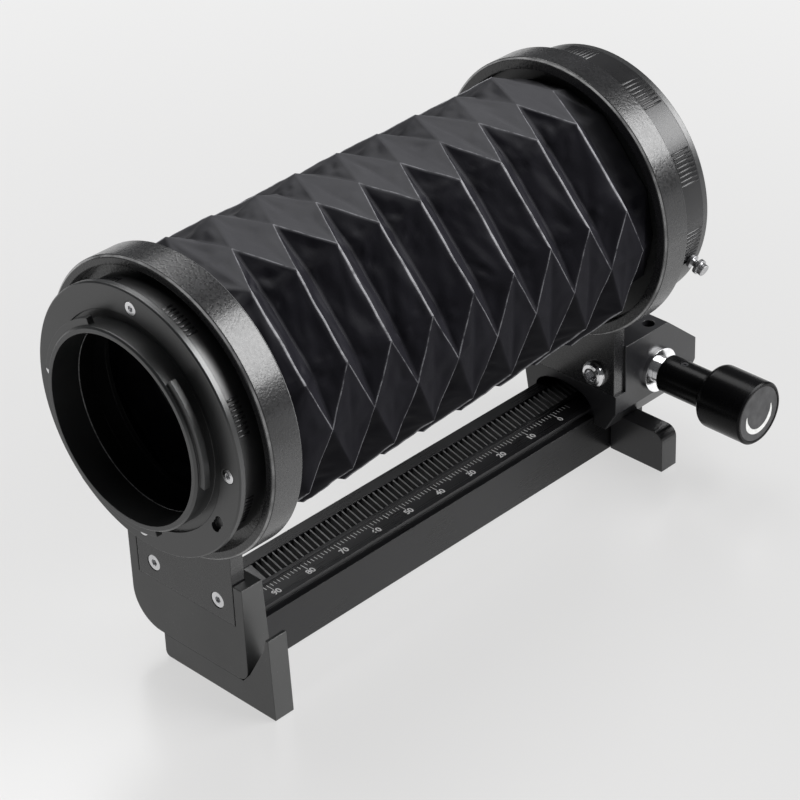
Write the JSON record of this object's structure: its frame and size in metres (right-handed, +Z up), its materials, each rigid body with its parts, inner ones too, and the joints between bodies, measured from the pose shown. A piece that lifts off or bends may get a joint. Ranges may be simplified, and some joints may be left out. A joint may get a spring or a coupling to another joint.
{
  "type": "macro bellows unit",
  "caption": "Macro bellows unit: a folded bellows between a camera mount ring and a sliding lens mount ring, focused along a toothed rail by a side knob",
  "frame": {"origin": "Mouth of the tripod socket in the middle of the rail's underside, on the plane the unit stands on", "axes": "+Y along the rail and the optical axis from the camera mount to the lens mount, +X across the rail to the focusing knob, +Z up"},
  "size_m": [0.0786, 0.1584, 0.0993],
  "materials": {
    "anodised_black": "black anodised, semi-gloss",
    "dark_steel": "blackened machined steel",
    "steel": "machined",
    "screw_dark": "blackened",
    "satin_black": "satin black enamel",
    "wrinkle_black": "glossy black crackle paint",
    "chrome": "bright plated",
    "bellows_cloth": "matte coated cloth, worn along the folds",
    "spring_brass": "bright",
    "white_dot": "enamel fill",
    "knob_cap_grey": "grey, satin turned"
  },
  "bodies": {
    "base": {"rail": "anodised_black", "rack": "dark_steel", "rack_screw": "screw_dark", "tripod_insert": "steel", "camera_bracket": "satin_black", "camera_foot": "satin_black", "bracket_screws": "screw_dark", "camera_foot_screws": "screw_dark", "camera_ring": "wrinkle_black", "camera_tab_screws": "chrome", "camera_adapter": "anodised_black", "camera_bayonet": "anodised_black", "camera_mount_screws": "chrome", "camera_bellows_frame": "satin_black", "bellows": "bellows_cloth"},
    "carriage": {"carriage": "satin_black", "lens_foot": "satin_black", "lens_foot_screw": "screw_dark", "lens_ring": "wrinkle_black", "lens_tab_screws": "chrome", "lens_bellows_frame": "satin_black", "lens_adapter": "anodised_black", "lens_bayonet": "anodised_black", "lens_mount_screws": "chrome", "bayonet_springs": "spring_brass", "lens_index": "white_dot", "release_spring": "steel", "knob_bush": "chrome", "bush_grub": "screw_dark"},
    "drive": {"pinion": "steel", "drive_shaft": "chrome", "knob": "anodised_black", "knob_cap": "knob_cap_grey", "knob_grub": "screw_dark"},
    "release": {"release_pin": "steel"}
  },
  "joints": [
    {"name": "carriage_slide", "type": "slide", "parent": "base", "child": "carriage", "axis": [0, 1, 0], "range_m": [-0.075, 0], "deforming": ["bellows"]},
    {"name": "knob_turn", "type": "hinge", "parent": "carriage", "child": "drive", "pos_m": [0.03, 0.0694, 0.0201], "axis": [1, 0, 0], "range_deg": [0, 560]},
    {"name": "lens_release", "type": "slide", "parent": "carriage", "child": "release", "axis": [0, 1, 0], "range_m": [-0.0022, 0], "stiffness_N_per_m": 60, "springref_m": 0.003, "deforming": ["release_spring"]}
  ],
  "couplings": [
    {"joint": "knob_turn", "follows": "carriage_slide", "rad_per_m": -129.92}
  ]
}
